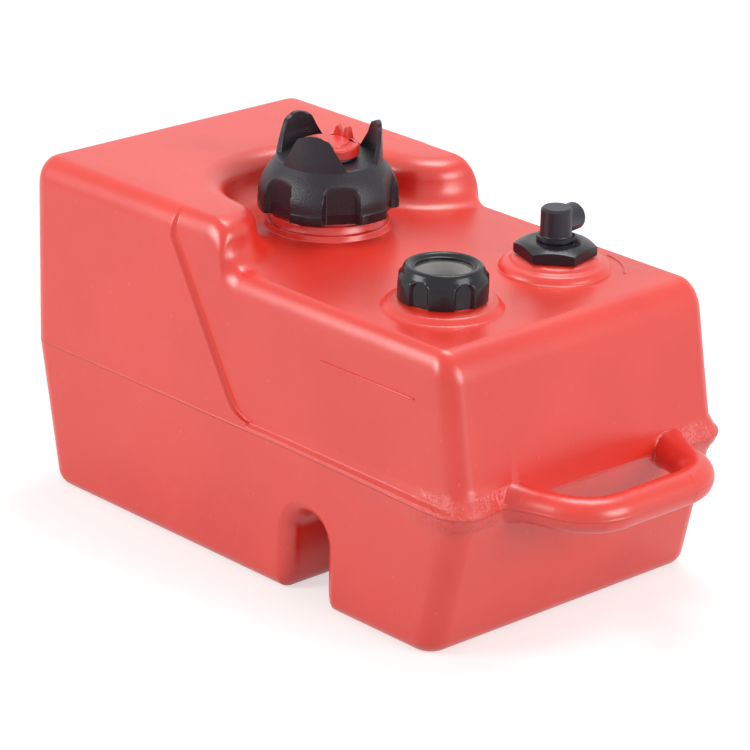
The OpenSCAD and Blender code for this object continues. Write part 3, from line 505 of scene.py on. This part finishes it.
wings_bm = bmesh.new()
for third in range(3):
    wing_into(wings_bm, cap_turn + 120 * third)
bmesh.ops.recalc_face_normals(wings_bm, faces=wings_bm.faces)
wings = finish_piece(wings_bm, "cap_wings", "fill_cap", cap_black, bevel=0.0007, steps=3, sharp=50)
cap = finish_piece(cap_bm, "cap_dome", "fill_cap", cap_black, sharp=50)
print("wings box", [round(v, 4) for v in wings.dimensions])

# %% [markdown]
# ## Vent knob, gauge and withdrawal fitting
# The knob, the nut and the elbow keep their CAD shapes and only get rounded edges. The gauge collar is a fluted
# turning like the cap. The window over the dial is a smoky clear disc, so most light passes straight through it.

# %% Knob, nut and elbow
knob = finish_piece(merged("vent_knob", 1.0), "red_vent_knob", "vent_knob", knob_red, bevel=0.0005, steps=3)
nut = finish_piece(merged("pickup_nut", 1.0), "withdrawal_nut", "pickup_nut", smooth_black, bevel=0.0009, steps=3)
elbow = finish_piece(merged("pickup_elbow", 1.0), "hose_elbow", "pickup_elbow", elbow_black, bevel=0.0005, steps=2)
print("small fittings:", knob.name, nut.name, elbow.name)

# %% Gauge collar
collar_outer = [(27.0, 6.4), (27.4, 6.6), (27.6, 7.0), (27.6, 10.0), (27.6, 13.0), (27.6, 16.0), (27.5, 18.0),
                (27.2, 19.2), (26.7, 20.2), (26.0, 21.0), (25.2, 21.8), (24.8, 22.6), (24.4, 23.6), (24.0, 24.7),
                (23.4, 25.7), (22.7, 26.3), (21.8, 26.6), (20.8, 26.55), (19.8, 26.2), (18.9, 25.5), (18.2, 24.6)]
collar_inner = [(17.3, 24.3), (17.2, 23.9), (17.2, 23.5), (22.8, 23.5), (22.8, 6.5), (23.0, 6.4)]
collar_bm = fluted_turning(gauge_axis, collar_outer, collar_inner, (6, 104, 25.0, 12.5, 21.6), 240, edge=0.7)
collar = finish_piece(collar_bm, "gauge_collar_ring", "gauge_collar", smooth_black, sharp=50)
print("collar", [round(v, 4) for v in collar.dimensions])

# %% Window material
smoky = plastic("smoky_window", (0.10, 0.10, 0.12), (0.08, 0.08, 0.10), 0.08, (2000, 0.000004), (30, 0.00005), spread=0.02)
smoky.node_tree.nodes["Principled BSDF"].inputs["Alpha"].default_value = 0.16
print("window alpha 0.16")

# %% [markdown]
# ## Metals
# The gauge's ribbon and rods are drawn aluminium and the vent spring is stainless wire. Both are metals with a fine
# streak along their length.

# %% Metal materials


def metal(name, tint, rough):
    material = bpy.data.materials.new(name)
    material.use_nodes = True
    tree = material.node_tree
    shader = tree.nodes["Principled BSDF"]
    here = add(tree, "ShaderNodeTexCoord").outputs["Object"]
    long = add(tree, "ShaderNodeMapping", Vector=here, Scale=(1, 1, 0.06))
    streak = add(tree, "ShaderNodeTexNoise", Vector=long.outputs["Vector"], Scale=1500.0, Detail=3.0).outputs["Fac"]
    shade = add(tree, "ShaderNodeMix", {"data_type": "RGBA"}, Factor=streak,
                A=(*[c * 0.88 for c in tint], 1), B=(*tint, 1))
    tree.links.new(shade.outputs["Result"], shader.inputs["Base Color"])
    tree.links.new(ramp(tree, streak, 0.3, 0.7, rough - 0.08, rough + 0.08, soft=False), shader.inputs["Roughness"])
    bump = add(tree, "ShaderNodeBump", Height=streak, Distance=0.00001)
    tree.links.new(bump.outputs["Normal"], shader.inputs["Normal"])
    shader.inputs["Metallic"].default_value = 1.0
    return material


aluminium = metal("drawn_aluminium", (0.78, 0.78, 0.80), 0.34)
stainless = metal("stainless_wire", (0.60, 0.60, 0.62), 0.28)
print("metals:", aluminium.name, stainless.name)

# %% [markdown]
# ## Vent spring
# Turning the red knob presses the vent's poppet down against a small coil spring. The real spring shortens, which a
# rigid piece can't do, so the coil is a plain copy of the CAD one, with a mesh of its own.

# %% Vent coil
coil = finish_piece(merged("vent_spring"), "vent_coil", "vent_spring", stainless, sharp=60)
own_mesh(coil)

# %% [markdown]
# ## Raised marks
# Two marks in the mould show on the outside: an arc on the deck that follows the elbow's swing, and a line on the
# side panel at the height of the full tank. Each is a thin rounded bead, half sunk in the wall: the arc is a small
# circle spun about the elbow's axis, and the line is a long box with bevelled edges.

# %% Swing arc
arc_bm = bmesh.new()
bead = bmesh.ops.create_circle(arc_bm, cap_ends=True, segments=12, radius=0.0008,
                               matrix=Matrix.Rotation(math.radians(90), 4, "X"))["verts"]
bmesh.ops.translate(arc_bm, vec=(0.0425, 0, 0), verts=bead)
bmesh.ops.rotate(arc_bm, matrix=Matrix.Rotation(math.radians(38), 3, "Z"), verts=bead)
bmesh.ops.spin(arc_bm, geom=arc_bm.faces[:], angle=math.radians(47), steps=24, axis=(0, 0, 1), cent=(0, 0, 0))
bmesh.ops.recalc_face_normals(arc_bm, faces=arc_bm.faces)
bmesh.ops.translate(arc_bm, vec=(outlet_axis.x, outlet_axis.y, DECK - 0.0002), verts=arc_bm.verts)
print("arc faces", len(arc_bm.faces))

# %% Full line
line_bm = bmesh.new()
bar = bmesh.ops.create_cube(line_bm, size=1, matrix=Matrix.Diagonal((0.080, 0.0016, 0.0014, 1)))["verts"]
bmesh.ops.bevel(line_bm, geom=line_bm.edges[:], offset=0.0005, segments=3, profile=0.5, affect="EDGES", material=-1)
bmesh.ops.translate(line_bm, vec=(0.0855, -0.1080, 0.156), verts=line_bm.verts)


def raised_mark(bm, name):
    mesh = bpy.data.meshes.new(name)
    bm.to_mesh(mesh)
    bm.free()
    mesh.polygons.foreach_set("use_smooth", [True] * len(mesh.polygons))
    mesh.materials.append(tank_red)
    thing = bpy.data.objects.new(name, mesh)
    scene.collection.objects.link(thing)
    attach(thing, "tank")
    return thing


marks = [raised_mark(arc_bm, "swing_arc"), raised_mark(line_bm, "full_line")]
print("marks:", [m.name for m in marks])

# %% [markdown]
# ## Finish of the remaining CAD pieces
# The pieces inside keep their CAD meshes. Each gets the plastic, rubber or metal that the real one is made of.

# %% Dress the CAD pieces


def dress(node, material):
    target = nodes[node]
    target.data.materials.clear()
    target.data.materials.append(material)


finish_of = {
    "tank_shell": tank_red, "fill_cap": cap_black, "vent_knob": knob_red, "gauge_collar": smooth_black,
    "gauge_lens": smoky, "pickup_nut": smooth_black, "pickup_elbow": elbow_black, "gauge_dial": dial_grey,
    "gauge_pointer": pointer_orange, "gauge_ribbon": aluminium, "gauge_guides": aluminium,
    "vent_spring": stainless, "elbow_clip": stainless, "gauge_float": float_foam, "dip_tube": tube_white,
}
for node in nodes:
    dress(node, finish_of.get(node, rubber if node.endswith(("gasket", "seal", "oring")) else acetal))
print("dressed", len(nodes))
